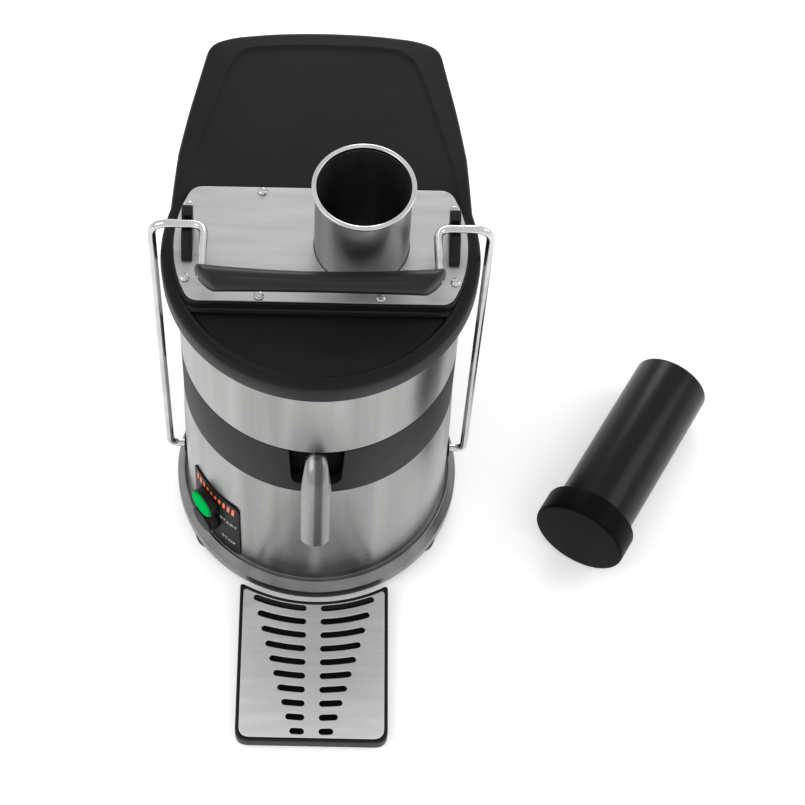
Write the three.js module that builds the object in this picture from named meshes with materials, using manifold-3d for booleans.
// Centrifugal juicer: a stainless motor housing with a bowl, a spinning filter
// basket, a lid with a feed tube, a wire bail that holds the lid down, a drip
// tray in front, a pulp container behind and a loose pusher beside it.
//
// Millimetres, +Z up. The origin is the centre of the base plate's underside.
// The spout and the tray point along -Y, the pulp chute along +Y.

import * as THREE from 'three';
import { mergeVertices } from 'three/addons/utils/BufferGeometryUtils.js';
import Module from 'manifold-3d';

const wasm = await Module();
wasm.setup();

// ---- Driving dimensions ------------------------------------------------------

const GAP = 0.3;                 // clearance between pieces that are fixed together
const FLOOR_Z = -10;             // the worktop, below the base plate's underside
const ROUND = 32;                // facets around a large turned piece
const MEDIUM = 24;               // facets around a middling one
const FINE = 12;                 // facets around a small one

const BODY_R = 120;              // bowl and seat band, outside
const SHEET = 1.5;               // stainless sheet of the housing and the bowl
const BASE_PLATE_CLEAR = 5;      // play between the base plate and the feet
const BASE_PLATE_T = 3;
const RING_SKIRT_STEP = 6.1;     // the base ring's skirt, outside its top edge
const RING_BOTTOM_Z = 2.5;
const RING_SIDE_TOP_Z = 14;      // the skirt is upright up to here and slopes in above
const RING_TOP_STEP = 4.6;       // the ring's top edge, outside the housing
const RING_TOP_Z = 23;
const RING_WALL = 3;
const RING_LIP_LAP = 8;          // how far the ring's inner lip lies over the base plate
const RING_LIP_T = 2;
const FOOT_R = 14;
const FOOT_INSET = 13.5;         // the feet's circle, inside the ring's skirt
const FOOT_ANGLE = 57;           // each foot's angle from the front or from the back

const HOUSING_STEP = 1.8;        // housing below its taper, outside the bowl
const HOUSING_TAPER_Z = 128;     // where the housing starts to narrow to BODY_R
const HOUSING_TOP_Z = 188;
const BAND_H = 70;               // black seat band between housing and bowl
const BAND_WALL = 8.5;
const BAND_CUT_W = 48;           // front cut-out that the spout leaves through
const BAND_CUT_H = 56;

const BOWL_H = 109.4;            // from the bowl's shoulder to its rim
const BOWL_WELL_DEPTH = 30.6;    // the bowl's sunk floor, below its shoulder
const WELL_CLEAR = 2.5;          // play between the bowl's well and the band
const BOWL_COLLAR_R = 36;        // upstand around the drive hub
const BOWL_COLLAR_H = 34;
const SPOUT_R = 12.7;
const SPOUT_WALL = 1.2;
const SPOUT_REACH = 21;          // spout tip, in front of the bowl
const SPOUT_TIP_Z = 148;

const SHAFT_R = 8;
const SHAFT_TOP_R = 6;
const SHAFT_FIT = 0.05;          // radial running clearance of the shaft
const STATOR_R = 58;
const STATOR_BORE_R = 33;
const STATOR_Z = 72;
const STATOR_H = 78;
const BEARING_R = 17;
const BEARING_H = 12;
const SEAL_R = 23.7;
const CAPACITOR_R = 18;
const CAPACITOR_H = 60;
const FAN_R = 48;
const BASKET_FLARE = 36;         // how much wider the basket's rim is than its floor
const BASKET_CLEAR = 20;         // from the bowl's outside to the basket's rim, before the lip
const BASKET_LIFT = 38;          // basket above the well's underside
const BASKET_H = 66;
const BASKET_T = 1.2;

const LID_OVERHANG = 11.5;       // lid outside the bowl
const LID_DROP = 5.2;            // how far the lid's skirt reaches below the bowl's rim
const LID_H = 22.2;              // skirt height
const CHUTE_WALL = 2.6;          // the chute's side and back walls, above the container
const LID_ROOF = 4;
const CHUTE_OVERHANG = 4;        // pulp chute behind the container
const CHUTE_RISE = 5;            // chute roof above the rest of the lid
const PLATFORM_H = 7.65;         // raised pad under the steel plate
const PLATE_T = 1.5;
const PLATE_FRONT = 56.6;
const PLATE_BACK = 55.3;
const PLATE_INSET = 11.5;        // plate's round edge, inside the lid's
const PLATE_CORNER = 21.5;       // where the straight edges end, inside the plate's radius
const SCREW_HEAD_R = 4;
const SCREW_SHANK_R = 1.8;
const FEED_REACH = 7.9;          // feed tube's far side, outside the basket's floor
const FEED_BORE_R = 37.5;
const FEED_WALL = 1.2;
const FEED_RISE = 82.5;          // tube above the plate
const FEED_END_LIFT = 23;        // feed tube's end above the basket's underside

const LUG_INSET = 11.5;          // lugs inside the plate's radius
const LUG_W = 9;
const LUG_BACK = 17;
const LUG_FRONT = 19.5;
const LUG_H = 28.5;
const NOTCH_FRONT = 4.5;
const NOTCH_BACK = 6;
const NOTCH_GAP = 1;             // play between the wire and the notch's floor

const WIRE_R = 3.5;
const BAIL_CLEAR = 6.1;          // wire arms outside the lid
const BAIL_PIVOT_Z = 56;
const BAIL_RISE = 25.05;         // wire above the steel plate
const BAIL_INNER_STEP = 14.5;    // where the wire turns forward, inside the lugs
const BAIL_BEND_R = 10;
const GRIP_FORWARD = 58;
const GRIP_RISE = 10.5;
const GRIP_OVERHANG = 7.5;       // grip past the wire at each end
const GRIP_END_R = 11.5;
const GRIP_MID_R = 8.6;
const BUSH_R = 6;
const BUSH_FLANGE_R = 9;
const BUSH_FIT = 0.16;

const PANEL_ANGLE_FROM = 34;     // control panel, degrees from the front to the left
const PANEL_ANGLE_TO = 64;
const PANEL_Z = 24;
const PANEL_H = 92;
const PANEL_T = 1.2;
const BUTTON_ANGLE = 52;
const START_Z = 88;
const COLLAR_GAP = 0.8;          // between the two buttons' collars
const BUTTON_R = 13.2;
const BUTTON_FIT = 0.3;
const COLLAR_WALL = 1.1;         // around the button
const STEM_R = 9.3;
const STEM_FIT = 0.08;
const COLLAR_STEP = 9.7;         // collar's face, outside the housing
const BUTTON_STEP = 12.4;        // button's face, outside the housing
const BUTTON_TRAVEL = 3;
const COLLAR_NECK_R = 11;
const GLAND_R = 8;
const GLAND_ANGLE = -140;        // cable gland, to the right of the back
const GLAND_Z = 55;

const TRAY_HALF_W = 69;
const TRAY_REACH = 138;          // tray's length, from its back edge's radius
const TRAY_CLEAR = 4.5;          // play between the ring and the tray
const TRAY_H = 14;
const TRAY_CORNER = 11;
const TRAY_WALL = 3;
const TRAY_LEDGE = 5;
const TRAY_FLOOR = 2;
const GRILLE_T = 1.5;
const SLOT_ROWS = 10;
const SLOT_EDGE = 7.2;           // first row of slots, from the tray's back edge
const SLOT_PITCH = 13.5;
const SLOT_W = 6;
const SLOT_INNER_X = 6.5;
const SLOT_OUTER_X = 55.8;
const SLOT_TAPER = 4;            // each row is this much shorter at its outer end

const BIN_HALF_W = 96;
const BIN_CLEAR = 7.5;           // play between the ring and the container
const BIN_DEPTH = 82;
const BIN_DROP = 14.8;           // container's rim, below the lid's skirt
const BIN_WALL = 3;

const PUSHER_FIT = 1;            // play of the pusher in the feed tube
const PUSHER_LENGTH = 200;
const PUSHER_CAP_STEP = 7.8;     // cap outside the barrel
const PUSHER_CAP_T = 26;
const PUSHER_ASIDE = 112.1;      // pusher's place, to the right of the base ring
const PUSHER_Y = -82;
const PUSHER_YAW = 29.6;         // the lying pusher's heading, from +Y towards +X

// ---- Sizes that follow from them --------------------------------------------

const RAD = Math.PI / 180;
const RING_LIP_TOP_Z = BASE_PLATE_T + GAP + RING_LIP_T;
const HOUSING_R = BODY_R + HOUSING_STEP;
const RING_TOP_R = HOUSING_R + RING_TOP_STEP;
const RING_R = RING_TOP_R + RING_SKIRT_STEP;
const FOOT_PCR = RING_R - FOOT_INSET;
const BASE_PLATE_R = FOOT_PCR - FOOT_R - BASE_PLATE_CLEAR;
const RING_LIP_R = BASE_PLATE_R - RING_LIP_LAP;
const BASKET_TOP_R = BODY_R - BASKET_CLEAR;
const BASKET_R = BASKET_TOP_R - BASKET_FLARE;
const BOWL_WELL_R = BODY_R - BAND_WALL - WELL_CLEAR;
const SPOUT_OUT = BODY_R + SPOUT_REACH;
const HOUSING_Z = RING_TOP_Z + GAP;
const BAND_Z = HOUSING_TOP_Z + GAP;
const SHOULDER_Z = BAND_Z + BAND_H + GAP;
const RIM_Z = SHOULDER_Z + BOWL_H;
const WELL_Z = SHOULDER_Z - BOWL_WELL_DEPTH;
const BASKET_Z = WELL_Z + BASKET_LIFT;
const FEED_END_Z = BASKET_Z + FEED_END_LIFT;
const LID_R = BODY_R + LID_OVERHANG;
const LID_Z = RIM_Z - LID_DROP;
const PLATE_R = LID_R - PLATE_INSET;
const PLATE_FLAT = PLATE_R - PLATE_CORNER;
const LUG_X = PLATE_R - LUG_INSET;
const LID_TOP_Z = LID_Z + LID_H;
const GASKET_TOP_Z = RIM_Z + 2.7;
const ROOF_Z = LID_TOP_Z - LID_ROOF;
const PLATFORM_Z = LID_TOP_Z + PLATFORM_H;
const PLATE_Z = PLATFORM_Z + GAP;
const PLATE_TOP_Z = PLATE_Z + PLATE_T;
const FEED_R = FEED_BORE_R + FEED_WALL;
const FEED_X = BASKET_R + FEED_REACH - FEED_R;
const PUSHER_R = FEED_BORE_R - PUSHER_FIT;
const PUSHER_CAP_R = PUSHER_R + PUSHER_CAP_STEP;
const PUSHER_X = RING_R + PUSHER_ASIDE;
const FEED_TOP_Z = PLATE_TOP_Z + FEED_RISE;
const TRAY_TOP_Z = FLOOR_Z + TRAY_H;
const BAIL_X = LID_R + BAIL_CLEAR;
const BAIL_TOP_Z = PLATE_TOP_Z + BAIL_RISE;
const BAIL_INNER_X = LUG_X - BAIL_INNER_STEP;
const GRIP_Z = BAIL_TOP_Z + GRIP_RISE;
const GRIP_LENGTH = 2 * (BAIL_INNER_X + GRIP_OVERHANG);
const COLLAR_R = BUTTON_R + BUTTON_FIT + COLLAR_WALL;
const STOP_Z = START_Z - 2 * COLLAR_R - COLLAR_GAP;
const COLLAR_FRONT = HOUSING_R + COLLAR_STEP;
const BUTTON_FRONT = HOUSING_R + BUTTON_STEP;
const TRAY_BACK_R = RING_R + TRAY_CLEAR;
const TRAY_FRONT = TRAY_BACK_R + TRAY_REACH;
const SLOT_FIRST_R = TRAY_BACK_R + SLOT_EDGE;
const BIN_FRONT = RING_R + BIN_CLEAR;
const BIN_H = LID_Z - BIN_DROP - FLOOR_Z;
const CHUTE_FRONT = BIN_FRONT - 5;
const CHUTE_BACK = BIN_FRONT + BIN_DEPTH + CHUTE_OVERHANG;
const DRILL_IN = HOUSING_R - 22;
const DRILL_OUT = HOUSING_R + 18;

// ---- Solids ------------------------------------------------------------------

// A closed geometry as a manifold solid: shared vertices merged, faces outward.
function solidOf(geometry) {
  const bare = new THREE.BufferGeometry();
  const source = geometry.index ? geometry.toNonIndexed() : geometry;
  bare.setAttribute('position', source.getAttribute('position').clone());
  const merged = mergeVertices(bare, 1e-4);
  const position = merged.getAttribute('position');
  const corners = [];
  let volume = 0;
  const a = new THREE.Vector3();
  const b = new THREE.Vector3();
  const c = new THREE.Vector3();
  for (let i = 0; i < merged.index.count; i += 3) {
    const [p, q, r] = [0, 1, 2].map((k) => merged.index.getX(i + k));
    if (p === q || q === r || r === p) {
      continue;
    }
    corners.push(p, q, r);
    a.fromBufferAttribute(position, p);
    b.fromBufferAttribute(position, q);
    c.fromBufferAttribute(position, r);
    volume += a.dot(b.cross(c));
  }
  if (volume < 0) {
    corners.reverse();
  }
  const mesh = new wasm.Mesh({
    numProp: 3,
    vertProperties: new Float32Array(position.array),
    triVerts: new Uint32Array(corners),
  });
  return new wasm.Manifold(mesh);
}

// The three.js geometry of a manifold solid.
function geometryOf(solid) {
  const mesh = solid.getMesh();
  const geometry = new THREE.BufferGeometry();
  geometry.setAttribute('position', new THREE.BufferAttribute(mesh.vertProperties, 3));
  geometry.setIndex(new THREE.BufferAttribute(mesh.triVerts, 1));
  geometry.computeVertexNormals();
  return geometry;
}

// A profile of [radius, height] pairs turned about Z. It starts and ends on
// the axis, or closes on itself when its first point is far from the axis.
function turned(profile, facets = ROUND) {
  const points = profile.map(([r, z]) => new THREE.Vector2(r, z));
  if (profile[0][0] > 0) {
    points.push(points[0].clone());
  }
  return new THREE.LatheGeometry(points, facets).rotateX(Math.PI / 2);
}

// A plain cylinder along Z between two heights.
function rod(radius, z0, z1, facets = FINE) {
  return turned([[0, z0], [radius, z0], [radius, z1], [0, z1]], facets);
}

// A plain tube along Z between two heights.
function tube(outer, inner, z0, z1, facets = ROUND) {
  return turned([[inner, z0], [outer, z0], [outer, z1], [inner, z1]], facets);
}

// A plan outline raised from z0 to z1.
function raised(shape, z0, z1, curveSegments = 12) {
  const settings = { depth: z1 - z0, bevelEnabled: false, curveSegments };
  return new THREE.ExtrudeGeometry(shape, settings).translate(0, 0, z0);
}

// A plain block between two corners.
function block(x0, x1, y0, y1, z0, z1) {
  const box = new THREE.BoxGeometry(x1 - x0, y1 - y0, z1 - z0);
  return box.translate((x0 + x1) / 2, (y0 + y1) / 2, (z0 + z1) / 2);
}

// A route whose parameter runs evenly over a list of hand-placed points, so
// that bends get as many steps as they need and straights get one.
class Route extends THREE.Curve {
  constructor(points) {
    super();
    this.points = points;
  }
  getPoint(t) {
    const last = this.points.length - 1;
    const place = Math.min(t * last, last - 1e-9);
    const index = Math.floor(place);
    return this.points[index].clone().lerp(this.points[index + 1], place - index);
  }
  getPointAt(u) {
    return this.getPoint(u);
  }
  getTangentAt(u) {
    const last = this.points.length - 1;
    const index = Math.round(u * last);
    const before = this.points[Math.max(index - 1, 0)];
    const after = this.points[Math.min(index + 1, last)];
    return after.clone().sub(before).normalize();
  }
}

// Straight legs between corners, each corner rounded with four steps.
function roundedRoute(corners, radius) {
  const points = [corners[0]];
  for (let i = 1; i < corners.length - 1; i += 1) {
    const toBack = corners[i - 1].clone().sub(corners[i]).normalize().multiplyScalar(radius);
    const toNext = corners[i + 1].clone().sub(corners[i]).normalize().multiplyScalar(radius);
    const bend = new THREE.QuadraticBezierCurve3(
      corners[i].clone().add(toBack), corners[i], corners[i].clone().add(toNext));
    points.push(...bend.getPoints(4));
  }
  points.push(corners[corners.length - 1]);
  return new Route(points);
}

// A round bar of one radius along a route.
function bar(route, radius, sides) {
  const section = new THREE.Shape();
  for (let i = 0; i < sides; i += 1) {
    const turn = (i / sides) * 2 * Math.PI;
    const point = [radius * Math.cos(turn), radius * Math.sin(turn)];
    if (i === 0) {
      section.moveTo(...point);
    } else {
      section.lineTo(...point);
    }
  }
  section.closePath();
  const settings = { steps: route.points.length - 1, extrudePath: route, bevelEnabled: false };
  return new THREE.ExtrudeGeometry(section, settings);
}

// ---- Scene graph -------------------------------------------------------------

const juicer = new THREE.Group();

function finish(color, roughness, metalness) {
  return { color, roughness, metalness };
}

const SATIN_STEEL = finish('#b9b9b7', 0.35, 1);
const BRIGHT_STEEL = finish('#c9c9c8', 0.2, 1);
const BLACK_PLASTIC = finish('#2b2b2c', 0.45, 0);
const GREY_PLASTIC = finish('#3f4041', 0.5, 0);
const RUBBER = finish('#1c1c1c', 0.8, 0);
const CAST_ALUMINIUM = finish('#9b9da0', 0.55, 1);
const LAMINATIONS = finish('#5a5c60', 0.5, 1);
const GREEN_PLASTIC = finish('#00d968', 0.35, 0);

function place(name, shape, look, parent = juicer) {
  const geometry = shape instanceof THREE.BufferGeometry ? geometryOf(solidOf(shape)) : geometryOf(shape);
  const mesh = new THREE.Mesh(geometry, new THREE.MeshStandardMaterial(look));
  mesh.name = name;
  parent.add(mesh);
  return mesh;
}

// ---- Base --------------------------------------------------------------------

function addBase() {
  const vents = 8;
  let plate = solidOf(rod(BASE_PLATE_R, 0, BASE_PLATE_T, ROUND));
  for (let i = 0; i < vents; i += 1) {
    const turn = (i / vents) * 2 * Math.PI;
    const hole = rod(6, -1, BASE_PLATE_T + 1, 12);
    hole.translate(62 * Math.cos(turn), 62 * Math.sin(turn), 0);
    plate = plate.subtract(solidOf(hole));
  }
  place('base_plate', plate, SATIN_STEEL);

  const lipZ = RING_LIP_TOP_Z - RING_LIP_T;
  const innerR = RING_R - RING_WALL;
  place('base_ring', turned([
    [RING_LIP_R, lipZ], [innerR, lipZ], [innerR, RING_BOTTOM_Z], [RING_R, RING_BOTTOM_Z],
    [RING_R, RING_SIDE_TOP_Z], [RING_TOP_R, RING_TOP_Z], [HOUSING_R - 12, RING_TOP_Z],
    [HOUSING_R - 12, RING_TOP_Z - RING_WALL], [RING_TOP_R - RING_WALL, RING_TOP_Z - RING_WALL],
    [innerR, RING_SIDE_TOP_Z - 2], [innerR, RING_LIP_TOP_Z], [RING_LIP_R, RING_LIP_TOP_Z],
  ]), BRIGHT_STEEL);

  const names = ['foot_front_left', 'foot_front_right', 'foot_back_left', 'foot_back_right'];
  names.forEach((name, i) => {
    const side = i % 2 === 0 ? -1 : 1;
    const end = i < 2 ? -1 : 1;
    const foot = place(name, turned([
      [0, FLOOR_Z], [FOOT_R - 1.5, FLOOR_Z], [FOOT_R, FLOOR_Z + 1.5], [FOOT_R - 0.8, RING_BOTTOM_Z - GAP],
      [8, RING_BOTTOM_Z - GAP], [8, lipZ - GAP], [0, lipZ - GAP],
    ], FINE), RUBBER);
    const turn = FOOT_ANGLE * RAD;
    foot.position.set(side * FOOT_PCR * Math.sin(turn), end * FOOT_PCR * Math.cos(turn), 0);
  });
}

// ---- Housing, seat band and bowl ----------------------------------------------

// A cylinder whose axis leaves the juicer's axis at an angle from the front
// towards the left, between two distances from the axis.
function radialRod(radius, from, to, angle, z, facets = FINE) {
  return aimed(rod(radius, from, to, facets), angle, z);
}

function aimed(geometry, angle, z) {
  return geometry.rotateX(Math.PI / 2).rotateZ(-angle * RAD).translate(0, 0, z);
}

function addHousing() {
  const inner = HOUSING_R - SHEET;
  let shell = solidOf(turned([
    [HOUSING_R - 10, HOUSING_Z], [HOUSING_R, HOUSING_Z], [HOUSING_R, HOUSING_TAPER_Z],
    [BODY_R, HOUSING_TOP_Z], [24, HOUSING_TOP_Z], [24, HOUSING_TOP_Z - SHEET],
    [BODY_R - SHEET, HOUSING_TOP_Z - SHEET], [inner, HOUSING_TAPER_Z],
    [inner, HOUSING_Z + SHEET], [HOUSING_R - 10, HOUSING_Z + SHEET],
  ]));
  for (const z of [START_Z, STOP_Z]) {
    shell = shell.subtract(solidOf(radialRod(COLLAR_NECK_R + GAP, DRILL_IN, DRILL_OUT, BUTTON_ANGLE, z)));
  }
  for (const angle of [90, -90]) {
    shell = shell.subtract(solidOf(radialRod(BUSH_R + GAP, DRILL_IN, DRILL_OUT, angle, BAIL_PIVOT_Z)));
  }
  shell = shell.subtract(solidOf(radialRod(GLAND_R + GAP, DRILL_IN, DRILL_OUT, GLAND_ANGLE, GLAND_Z)));
  place('housing', shell, SATIN_STEEL);
}

function addBand() {
  const inner = BODY_R - BAND_WALL;
  const top = BAND_Z + BAND_H;
  const ring = solidOf(turned([
    [SEAL_R + GAP, BAND_Z], [BODY_R, BAND_Z], [BODY_R, top], [inner, top],
    [inner, BAND_Z + 4], [SEAL_R + GAP, BAND_Z + 4],
  ]));
  const half = BAND_CUT_W / 2;
  const cut = solidOf(block(-half, half, -BODY_R - 5, -inner + 6, top - BAND_CUT_H, top + 5));
  place('seat_band', ring.subtract(cut), GREY_PLASTIC);
}

function spoutRoute(backY) {
  const z = WELL_Z + SPOUT_R + 2.8;
  const p = (y, height) => new THREE.Vector3(0, y, height);
  const bend = new THREE.QuadraticBezierCurve3(
    p(-BODY_R - 1, z), p(-SPOUT_OUT + 4, z), p(-SPOUT_OUT + 3, z - 21.5));
  return new Route([p(backY, z), ...bend.getPoints(6), p(-SPOUT_OUT, SPOUT_TIP_Z)]);
}

// The bowl is a drum wall on a shoulder ring, a sunk well with a centre upstand
// under it, and a spout that leaves the well through the seat band's cut-out.
function addBowl() {
  place('bowl', tube(BODY_R, BODY_R - SHEET, SHOULDER_Z + SHEET + GAP, RIM_Z, ROUND), SATIN_STEEL);
  const shoulder = tube(BODY_R, BOWL_WELL_R - SHEET, SHOULDER_Z, SHOULDER_Z + SHEET, ROUND);
  place('bowl_shoulder', shoulder, SATIN_STEEL);

  const wellTop = SHOULDER_Z - GAP;
  const well = solidOf(turned([
    [BOWL_COLLAR_R - SHEET, WELL_Z], [BOWL_WELL_R, WELL_Z], [BOWL_WELL_R, wellTop],
    [BOWL_WELL_R - SHEET, wellTop], [BOWL_WELL_R - SHEET, WELL_Z + SHEET],
    [BOWL_COLLAR_R, WELL_Z + SHEET], [BOWL_COLLAR_R, WELL_Z + BOWL_COLLAR_H],
    [BOWL_COLLAR_R - SHEET, WELL_Z + BOWL_COLLAR_H],
  ]));
  const clear = solidOf(bar(spoutRoute(-BOWL_WELL_R + 9), SPOUT_R + GAP, FINE));
  place('bowl_well', well.subtract(clear), SATIN_STEEL);

  const outside = solidOf(bar(spoutRoute(-BOWL_WELL_R + SHEET), SPOUT_R, FINE));
  const inside = solidOf(bar(spoutRoute(-BOWL_WELL_R + 9), SPOUT_R - SPOUT_WALL, FINE));
  const bore = rod(SPOUT_R - SPOUT_WALL, SPOUT_TIP_Z - 5, SPOUT_TIP_Z + 5);
  const mouth = solidOf(bore.translate(0, -SPOUT_OUT, 0));
  place('spout', outside.subtract(inside).subtract(mouth), SATIN_STEEL);
}

// ---- Motor and rotor ----------------------------------------------------------

function addMotor() {
  const top = STATOR_Z + STATOR_H;
  place('stator', tube(STATOR_R, STATOR_BORE_R, STATOR_Z, top, MEDIUM), LAMINATIONS);

  const deckZ = HOUSING_TOP_Z - SHEET - GAP;
  const pocket = BEARING_R + GAP;
  place('motor_bell_top', turned([
    [pocket, deckZ - BEARING_H - 2], [STATOR_R - 8, deckZ - BEARING_H - 2], [STATOR_R - 4, top + GAP],
    [STATOR_R, top + GAP], [STATOR_R, deckZ - 5], [STATOR_R + 26, deckZ - 5], [STATOR_R + 26, deckZ],
    [pocket, deckZ],
  ], MEDIUM), CAST_ALUMINIUM);
  place('motor_bell_bottom', turned([
    [SHAFT_R + 1, STATOR_Z - 22], [STATOR_R - 6, STATOR_Z - 22], [STATOR_R, STATOR_Z - 16],
    [STATOR_R, STATOR_Z - GAP], [STATOR_R - 4, STATOR_Z - GAP], [STATOR_R - 8, STATOR_Z - 18],
    [BEARING_R + 5, STATOR_Z - 18], [BEARING_R + 5, STATOR_Z - 6], [pocket, STATOR_Z - 6],
    [pocket, STATOR_Z - 19], [SHAFT_R + 1, STATOR_Z - 19],
  ], MEDIUM), CAST_ALUMINIUM);
  const bearingBore = SHAFT_R + SHAFT_FIT;
  place('bearing_top', tube(BEARING_R, bearingBore, deckZ - BEARING_H, deckZ, MEDIUM), BRIGHT_STEEL);
  const lowZ = STATOR_Z - 19 + GAP;
  place('bearing_bottom', tube(BEARING_R, bearingBore, lowZ, lowZ + BEARING_H, MEDIUM), BRIGHT_STEEL);
  place('shaft_seal', tube(SEAL_R, bearingBore, HOUSING_TOP_Z - SHEET, BAND_Z + 12, MEDIUM), RUBBER);

  const capacitor = place('capacitor', rod(CAPACITOR_R, 0, CAPACITOR_H), BLACK_PLASTIC);
  const midway = (STATOR_R + BODY_R) / 2 + 1;
  capacitor.position.set(0, midway, RING_LIP_TOP_Z + GAP);
}

function addRotor() {
  const tipZ = BASKET_Z + 14;
  place('shaft', turned([
    [0, STATOR_Z - 40], [SHAFT_R, STATOR_Z - 40], [SHAFT_R, BASKET_Z - 4],
    [SHAFT_TOP_R, BASKET_Z - 4], [SHAFT_TOP_R, tipZ - 1], [SHAFT_TOP_R - 1, tipZ], [0, tipZ],
  ], MEDIUM), BRIGHT_STEEL);
  const core = STATOR_BORE_R - 0.8;
  place('rotor_core', tube(core, SHAFT_R + GAP, STATOR_Z + 3, STATOR_Z + STATOR_H - 3, MEDIUM), LAMINATIONS);

  let fan = solidOf(tube(20, SHAFT_R + GAP, STATOR_Z - 38, STATOR_Z - 26, MEDIUM));
  const blades = 8;
  for (let i = 0; i < blades; i += 1) {
    const blade = block(15, FAN_R, -1.2, 1.2, STATOR_Z - 38, STATOR_Z - 26);
    fan = fan.add(solidOf(blade.rotateZ((i / blades) * 2 * Math.PI)));
  }
  place('cooling_fan', fan, BLACK_PLASTIC);

  place('drive_hub', turned([
    [SHAFT_R + GAP, BASKET_Z - 24], [18, BASKET_Z - 24], [26, BASKET_Z - 6], [26, BASKET_Z - GAP],
    [SHAFT_TOP_R + GAP, BASKET_Z - GAP], [SHAFT_TOP_R + GAP, BASKET_Z - 3.7],
    [SHAFT_R + GAP, BASKET_Z - 3.7],
  ], MEDIUM), CAST_ALUMINIUM);
  const rim = BASKET_Z + BASKET_H;
  place('filter_basket', turned([
    [SHAFT_TOP_R + GAP, BASKET_Z], [BASKET_R, BASKET_Z], [BASKET_TOP_R, rim - 2], [BASKET_TOP_R + 4, rim - 2],
    [BASKET_TOP_R + 4, rim], [BASKET_TOP_R - BASKET_T, rim], [BASKET_R - BASKET_T, BASKET_Z + 2],
    [SHAFT_TOP_R + GAP, BASKET_Z + 2],
  ]), BRIGHT_STEEL);
  const discZ = BASKET_Z + 2 + GAP;
  place('grating_disc', tube(BASKET_R - 4, SHAFT_TOP_R + GAP, discZ, discZ + 2, MEDIUM), BRIGHT_STEEL);
  const nutZ = discZ + 2 + GAP;
  place('clamp_nut', turned([
    [SHAFT_TOP_R + GAP, nutZ], [13, nutZ], [13, nutZ + 3], [10, nutZ + 11], [SHAFT_TOP_R + GAP, nutZ + 11],
  ], FINE), BRIGHT_STEEL);
}

// ---- Lid ----------------------------------------------------------------------

// The lid's plan outline, inset from its true edge: a circle in front that runs
// into the tapering chute behind. The chute narrows and rounds off at its back.
function lidOutline(inset, fromY = -Infinity) {
  const r = LID_R - inset;
  const back = CHUTE_BACK - inset;
  const joinY = 40;
  const halves = [
    [Math.sqrt(r * r - joinY * joinY), joinY], [LID_R - 9.5 - inset, 93],
    [LID_R - 16 - inset, CHUTE_FRONT], [LID_R - 25 - inset, CHUTE_FRONT + 43],
    [BIN_HALF_W + 5 - inset, back - 27], [BIN_HALF_W - 3 - inset, back - 15],
    [BIN_HALF_W - 20 - inset, back - 7], [BIN_HALF_W - 41 - inset, back - 3.5], [20, back - 0.5],
  ];
  const shape = new THREE.Shape();
  const right = halves.filter(([, y]) => y >= fromY);
  if (fromY === -Infinity) {
    const start = Math.atan2(joinY, halves[0][0]);
    shape.absarc(0, 0, r, Math.PI - start, start, false);
  } else {
    shape.moveTo(-right[0][0], fromY);
    shape.lineTo(right[0][0], fromY);
  }
  right.forEach(([x, y]) => shape.lineTo(x, y));
  right.slice().reverse().forEach(([x, y]) => shape.lineTo(-x, y));
  shape.closePath();
  return shape;
}

// The steel plate's outline, grown by a margin: two arcs about the axis joined
// by straight front and back edges, with rounded corners.
function plateOutline(margin) {
  const r = PLATE_R + margin;
  const front = -PLATE_FRONT - margin;
  const back = PLATE_BACK + margin;
  const turn = 7.5;
  const frontX = Math.sqrt(r * r - (front + turn) ** 2);
  const backX = Math.sqrt(r * r - (back - turn) ** 2);
  const frontCornerX = Math.sqrt(r * r - front * front);
  const backCornerX = Math.sqrt(r * r - back * back);
  const shape = new THREE.Shape();
  shape.moveTo(-PLATE_FLAT, front);
  shape.lineTo(PLATE_FLAT, front);
  shape.quadraticCurveTo(frontCornerX, front, frontX, front + turn);
  shape.absarc(0, 0, r, Math.atan2(front + turn, frontX), Math.atan2(back - turn, backX), false);
  shape.quadraticCurveTo(backCornerX, back, PLATE_FLAT, back);
  shape.lineTo(-PLATE_FLAT, back);
  shape.quadraticCurveTo(-backCornerX, back, -backX, back - turn);
  const arcEnd = Math.PI * 2 + Math.atan2(front + turn, -frontX);
  shape.absarc(0, 0, r, Math.atan2(back - turn, -backX), arcEnd, false);
  shape.quadraticCurveTo(-frontCornerX, front, -PLATE_FLAT, front);
  return shape;
}

function screwPlaces() {
  const edge = 4.8;
  const long = [[-49, 1], [49, 1], [49, -1], [-49, -1]].map(([x, side]) => (
    [x, side > 0 ? PLATE_BACK - edge : -PLATE_FRONT + edge]));
  const out = PLATE_R - 10.5;
  const short = [[-out, 35.5], [out, 35.5], [out, -35.5], [-out, -35.5]];
  return long.concat(short);
}

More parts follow.
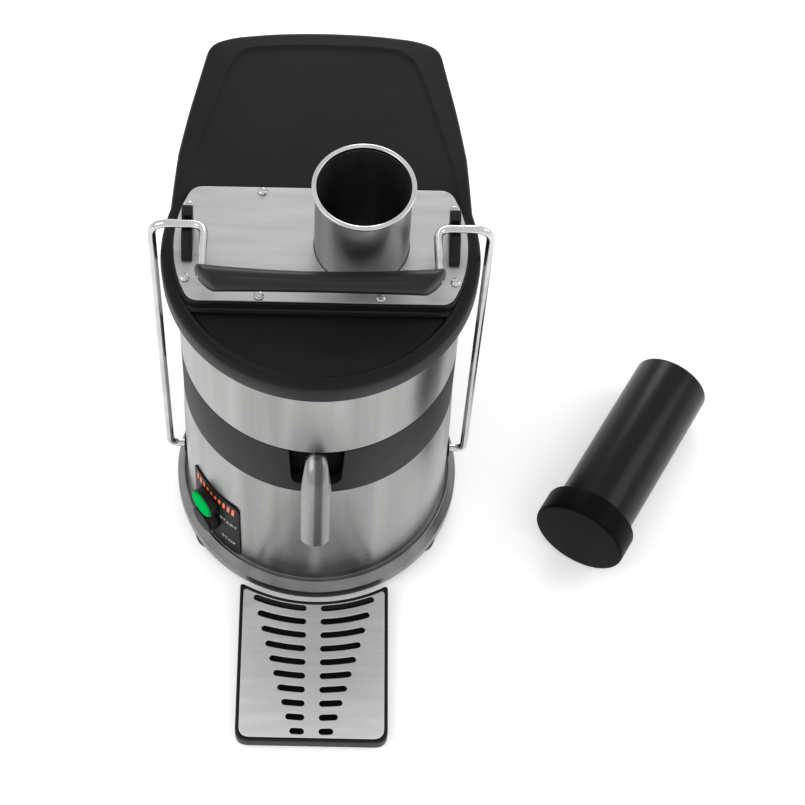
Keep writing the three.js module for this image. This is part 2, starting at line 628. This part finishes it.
function addLid() {
  const padHalf = PLATE_R - 28;
  const chuteHalf = BIN_HALF_W - 8;
  let lid = solidOf(raised(lidOutline(0), LID_Z, LID_TOP_Z, 20));
  lid = lid.add(solidOf(raised(lidOutline(4, PLATE_BACK + 2), LID_TOP_Z - 1, LID_TOP_Z + CHUTE_RISE)));
  lid = lid.add(solidOf(raised(plateOutline(0.6), LID_TOP_Z - 1, PLATFORM_Z, 8)));
  lid = lid.subtract(solidOf(rod(BODY_R + 1, LID_Z - 1, GASKET_TOP_Z + GAP, ROUND)));
  lid = lid.subtract(solidOf(rod(BODY_R - 14, LID_Z, ROOF_Z, ROUND)));
  lid = lid.subtract(solidOf(block(-padHalf, padHalf, -46, 46, ROOF_Z - 1, PLATFORM_Z - LID_ROOF)));
  const chuteTopZ = ROOF_Z + CHUTE_RISE;
  lid = lid.subtract(solidOf(block(-chuteHalf, chuteHalf, 62, BIN_FRONT, GASKET_TOP_Z + GAP, chuteTopZ)));
  lid = lid.subtract(solidOf(raised(lidOutline(4 + CHUTE_WALL, CHUTE_FRONT), LID_Z - 1, chuteTopZ)));
  const holes = [rod(FEED_R + GAP, LID_Z, PLATE_TOP_Z + 5, MEDIUM).translate(FEED_X, 0, 0)];
  for (const [x, y] of screwPlaces()) {
    holes.push(rod(SCREW_SHANK_R + GAP, ROOF_Z, PLATE_TOP_Z + 5, 10).translate(x, y, 0));
  }
  let plate = solidOf(raised(plateOutline(0), PLATE_Z, PLATE_TOP_Z, 8));
  for (const hole of holes) {
    const cutter = solidOf(hole);
    lid = lid.subtract(cutter);
    plate = plate.subtract(cutter);
  }
  place('lid', lid, BLACK_PLASTIC);
  place('top_plate', plate, SATIN_STEEL);
  place('lid_gasket', tube(BODY_R + 0.5, BODY_R - 6, RIM_Z + GAP, GASKET_TOP_Z, ROUND), RUBBER);

  screwPlaces().forEach(([x, y], i) => {
    const under = PLATE_TOP_Z + GAP;
    const screw = place('plate_screw_' + (i + 1), turned([
      [0, PLATE_TOP_Z - 6], [SCREW_SHANK_R, PLATE_TOP_Z - 6], [SCREW_SHANK_R, under], [SCREW_HEAD_R, under],
      [SCREW_HEAD_R, under + 1], [SCREW_HEAD_R - 1.2, under + 2.1], [0, under + 2.4],
    ], 10), BRIGHT_STEEL);
    screw.position.set(x, y, 0);
  });

  const feed = place('feed_tube', turned([
    [FEED_BORE_R, FEED_END_Z], [FEED_R, FEED_END_Z], [FEED_R, FEED_TOP_Z - 4], [FEED_R + 2, FEED_TOP_Z - 3.4],
    [FEED_R + 2.8, FEED_TOP_Z - 1.8], [FEED_R + 2, FEED_TOP_Z - 0.4], [FEED_R + 0.6, FEED_TOP_Z],
    [FEED_BORE_R, FEED_TOP_Z - 1.2],
  ], MEDIUM), BRIGHT_STEEL);
  feed.position.set(FEED_X, 0, 0);
}

// The bail's catch: a hump behind the wire, a short floor under it and a ramp
// in front that the wire rides down.
function addLugs() {
  const base = PLATE_TOP_Z + GAP;
  const top = base + LUG_H;
  const floor = BAIL_TOP_Z - WIRE_R - NOTCH_GAP;
  const side = new THREE.Shape();
  side.moveTo(-LUG_FRONT, base);
  side.lineTo(LUG_BACK, base);
  side.lineTo(LUG_BACK, top - 2);
  side.lineTo(LUG_BACK - 2, top);
  side.lineTo(NOTCH_BACK + 1, top);
  side.lineTo(NOTCH_BACK, top - 1);
  side.lineTo(NOTCH_BACK, floor);
  side.lineTo(-NOTCH_FRONT, floor);
  side.lineTo(-LUG_FRONT, base + 3);
  side.closePath();
  const turnUp = new THREE.Matrix4().makeBasis(
    new THREE.Vector3(0, 1, 0), new THREE.Vector3(0, 0, 1), new THREE.Vector3(1, 0, 0));
  for (const [name, centre] of [['lug_left', -LUG_X], ['lug_right', LUG_X]]) {
    const lug = place(name, raised(side, -LUG_W / 2, LUG_W / 2).applyMatrix4(turnUp), BLACK_PLASTIC);
    lug.position.x = centre;
  }
}

// ---- Bail ---------------------------------------------------------------------

// One wire half, from its pivot in the housing up the side, across to the
// plate and forward into the grip. side is -1 on the left and 1 on the right.
function wireCorners(side) {
  const p = (x, y, z) => new THREE.Vector3(side * x, y, z);
  return [
    p(HOUSING_R - 8, 0, BAIL_PIVOT_Z), p(BAIL_X, 0, BAIL_PIVOT_Z), p(BAIL_X, 0, BAIL_TOP_Z),
    p(BAIL_INNER_X, 0, BAIL_TOP_Z), p(BAIL_INNER_X, -GRIP_FORWARD, GRIP_Z),
  ];
}

function gripProfile() {
  const half = GRIP_LENGTH / 2;
  const round = 4;
  const points = [[0, -half], [GRIP_END_R - round, -half], [GRIP_END_R - 1, -half + 1.4]];
  const steps = 8;
  for (let i = 0; i <= steps; i += 1) {
    const x = (half - round) * (2 * i / steps - 1);
    points.push([GRIP_MID_R + (GRIP_END_R - GRIP_MID_R) * (x / half) ** 2, x]);
  }
  points.push([GRIP_END_R - 1, half - 1.4], [GRIP_END_R - round, half], [0, half]);
  return points;
}

function addBail() {
  let grip = solidOf(turned(gripProfile(), FINE).rotateY(Math.PI / 2).translate(0, -GRIP_FORWARD, GRIP_Z));
  for (const [name, side] of [['bail_left', -1], ['bail_right', 1]]) {
    const route = roundedRoute(wireCorners(side), BAIL_BEND_R);
    place(name, bar(route, WIRE_R, 10), BRIGHT_STEEL);
    grip = grip.subtract(solidOf(bar(route, WIRE_R + GAP, 10)));

    const bush = place(side < 0 ? 'bush_left' : 'bush_right', turned([
      [WIRE_R + BUSH_FIT, HOUSING_R - 10], [BUSH_R, HOUSING_R - 10], [BUSH_R, HOUSING_R + GAP],
      [BUSH_FLANGE_R, HOUSING_R + GAP], [BUSH_FLANGE_R, HOUSING_R + 2.5],
      [WIRE_R + BUSH_FIT, HOUSING_R + 2.5],
    ], FINE), BLACK_PLASTIC);
    bush.rotation.set(0, side * Math.PI / 2, 0);
    bush.position.z = BAIL_PIVOT_Z;
  }
  place('bail_grip', grip, BLACK_PLASTIC);
}

// ---- Controls -----------------------------------------------------------------

function addControls() {
  const inner = HOUSING_R + GAP;
  const outer = inner + PANEL_T;
  const from = (-90 - PANEL_ANGLE_TO) * RAD;
  const to = (-90 - PANEL_ANGLE_FROM) * RAD;
  const arc = new THREE.Shape();
  arc.absarc(0, 0, outer, from, to, false);
  arc.absarc(0, 0, inner, to, from, true);
  arc.closePath();
  let panel = solidOf(raised(arc, PANEL_Z, PANEL_Z + PANEL_H, 10));

  const back = outer + GAP;
  const buttons = [['start', START_Z, GREEN_PLASTIC], ['stop', STOP_Z, BLACK_PLASTIC]];
  for (const [name, z, look] of buttons) {
    panel = panel.subtract(solidOf(radialRod(COLLAR_NECK_R + GAP, DRILL_IN, DRILL_OUT, BUTTON_ANGLE, z)));
    const recessFloor = BUTTON_FRONT - 4 - BUTTON_TRAVEL - 0.7;
    const collar = turned([
      [STEM_R + STEM_FIT, inner - 12], [COLLAR_NECK_R, inner - 12], [COLLAR_NECK_R, back],
      [COLLAR_R, back], [COLLAR_R, COLLAR_FRONT - 0.8], [COLLAR_R - 0.8, COLLAR_FRONT],
      [BUTTON_R + BUTTON_FIT, COLLAR_FRONT], [BUTTON_R + BUTTON_FIT, recessFloor],
      [STEM_R + STEM_FIT, recessFloor],
    ], FINE);
    place(name + '_collar', aimed(collar, BUTTON_ANGLE, z), BLACK_PLASTIC);
    const button = turned([
      [0, inner - 14], [STEM_R, inner - 14], [STEM_R, BUTTON_FRONT - 4], [BUTTON_R, BUTTON_FRONT - 4],
      [BUTTON_R, BUTTON_FRONT - 0.8], [BUTTON_R - 0.8, BUTTON_FRONT], [0, BUTTON_FRONT],
    ], FINE);
    place(name + '_button', aimed(button, BUTTON_ANGLE, z), look);
  }
  place('control_panel', panel, GREY_PLASTIC);

  const switchFront = inner - 14 - BUTTON_TRAVEL - 1;
  const switches = block(-12, 12, STOP_Z - 12, START_Z + 12, 82, switchFront);
  switches.applyMatrix4(new THREE.Matrix4().makeBasis(
    new THREE.Vector3(1, 0, 0), new THREE.Vector3(0, 0, 1), new THREE.Vector3(0, -1, 0)));
  place('switch_block', switches.rotateZ(-BUTTON_ANGLE * RAD), BLACK_PLASTIC);

  const gland = turned([
    [0, HOUSING_R - 14], [GLAND_R, HOUSING_R - 14], [GLAND_R, HOUSING_R + GAP], [11, HOUSING_R + GAP],
    [11, HOUSING_R + 5], [GLAND_R, HOUSING_R + 7], [6.5, HOUSING_R + 12], [4, HOUSING_R + 12],
    [4, HOUSING_R - 6], [0, HOUSING_R - 6],
  ], FINE);
  place('cable_gland', aimed(gland, GLAND_ANGLE, GLAND_Z), BLACK_PLASTIC);
}

// ---- Drip tray ------------------------------------------------------------------

// The tray's outline, inset from its edge: a rectangle with rounded front
// corners whose back is an arc about the juicer's axis.
function trayOutline(inset) {
  const half = TRAY_HALF_W - inset;
  const front = -TRAY_FRONT + inset;
  const corner = TRAY_CORNER - inset / 2;
  const backR = TRAY_BACK_R + inset;
  const reach = Math.atan2(-Math.sqrt(backR * backR - half * half), half);
  const shape = new THREE.Shape();
  shape.moveTo(-half, front + corner);
  shape.absarc(-half + corner, front + corner, corner, Math.PI, 1.5 * Math.PI, false);
  shape.absarc(half - corner, front + corner, corner, 1.5 * Math.PI, 2 * Math.PI, false);
  shape.absarc(0, 0, backR, reach, -Math.PI - reach, true);
  shape.closePath();
  return shape;
}

// One round-ended slot along an arc about the axis, between two x positions.
function slotHole(radius, fromX, toX) {
  const r = SLOT_W / 2;
  const a0 = -Math.acos(toX / radius) + r / radius;
  const a1 = -Math.acos(fromX / radius) - r / radius;
  const [low, high] = fromX < toX ? [a1, a0] : [a0, a1];
  const slot = new THREE.Path();
  const steps = 2;
  for (let i = 0; i <= steps; i += 1) {
    const a = low + ((high - low) * i) / steps;
    const point = [(radius + r) * Math.cos(a), (radius + r) * Math.sin(a)];
    if (i === 0) {
      slot.moveTo(...point);
    } else {
      slot.lineTo(...point);
    }
  }
  slot.lineTo(radius * Math.cos(high + r / radius), radius * Math.sin(high + r / radius));
  for (let i = steps; i >= 0; i -= 1) {
    const a = low + ((high - low) * i) / steps;
    slot.lineTo((radius - r) * Math.cos(a), (radius - r) * Math.sin(a));
  }
  slot.lineTo(radius * Math.cos(low - r / radius), radius * Math.sin(low - r / radius));
  slot.closePath();
  return slot;
}

function addTray() {
  const ledgeZ = TRAY_TOP_Z - GRILLE_T - GAP;
  let tray = solidOf(raised(trayOutline(0), FLOOR_Z, TRAY_TOP_Z, 10));
  tray = tray.subtract(solidOf(raised(trayOutline(TRAY_WALL), ledgeZ, TRAY_TOP_Z + 1, 10)));
  const hollow = trayOutline(TRAY_WALL + TRAY_LEDGE);
  tray = tray.subtract(solidOf(raised(hollow, FLOOR_Z + TRAY_FLOOR, TRAY_TOP_Z, 10)));
  place('tray', tray, BLACK_PLASTIC);

  const sheet = trayOutline(TRAY_WALL + GAP);
  for (let row = 0; row < SLOT_ROWS; row += 1) {
    const radius = SLOT_FIRST_R + SLOT_PITCH * row;
    const outer = SLOT_OUTER_X - SLOT_TAPER * row;
    sheet.holes.push(slotHole(radius, SLOT_INNER_X, outer));
    sheet.holes.push(slotHole(radius, -outer, -SLOT_INNER_X));
  }
  place('tray_grille', raised(sheet, TRAY_TOP_Z - GRILLE_T, TRAY_TOP_Z, 10), SATIN_STEEL);
}

// ---- Pulp container and pusher ---------------------------------------------------

function addContainer() {
  const back = BIN_FRONT + BIN_DEPTH;
  const outside = solidOf(block(-BIN_HALF_W, BIN_HALF_W, BIN_FRONT, back, FLOOR_Z, FLOOR_Z + BIN_H));
  const half = BIN_HALF_W - BIN_WALL;
  const inside = solidOf(block(
    -half, half, BIN_FRONT + BIN_WALL, back - BIN_WALL, FLOOR_Z + BIN_WALL, FLOOR_Z + BIN_H + 5));
  place('pulp_container', outside.subtract(inside), BLACK_PLASTIC);
}

// The pusher lies on the worktop, on the cap's inner rim and the barrel's far
// edge, so its axis dips away from the cap.
function addPusher() {
  const between = PUSHER_LENGTH - PUSHER_CAP_T;
  const dip = Math.atan2(PUSHER_CAP_R - PUSHER_R, between);
  const faceHeight = PUSHER_CAP_R * Math.cos(dip) + PUSHER_CAP_T * Math.sin(dip);
  const lying = new THREE.Group();
  lying.rotation.set(-Math.PI / 2 - dip, 0, -PUSHER_YAW * RAD, 'ZYX');
  lying.position.set(PUSHER_X, PUSHER_Y, FLOOR_Z + faceHeight);
  const spigot = 20;
  const cap = place('pusher_cap', turned([
    [0, 0], [PUSHER_CAP_R - 4, 0], [PUSHER_CAP_R - 1.2, 1.2], [PUSHER_CAP_R, 4],
    [PUSHER_CAP_R, PUSHER_CAP_T], [PUSHER_R - 4, PUSHER_CAP_T], [PUSHER_R - 4, PUSHER_CAP_T - spigot],
    [0, PUSHER_CAP_T - spigot],
  ], MEDIUM), BLACK_PLASTIC, lying);
  const barrel = place('pusher_barrel', turned([
    [0, PUSHER_CAP_T - spigot + GAP], [PUSHER_R - 4 - GAP, PUSHER_CAP_T - spigot + GAP],
    [PUSHER_R - 4 - GAP, PUSHER_CAP_T + GAP], [PUSHER_R, PUSHER_CAP_T + GAP],
    [PUSHER_R, PUSHER_LENGTH], [0, PUSHER_LENGTH],
  ], MEDIUM), BLACK_PLASTIC, lying);
  for (const piece of [cap, barrel]) {
    piece.rotation.z = Math.PI / 2;
  }
  juicer.add(lying);
}

addBase();
addHousing();
addBand();
addBowl();
addMotor();
addRotor();
addLid();
addLugs();
addBail();
addControls();
addTray();
addContainer();
addPusher();
juicer.updateMatrixWorld(true);

export default juicer;
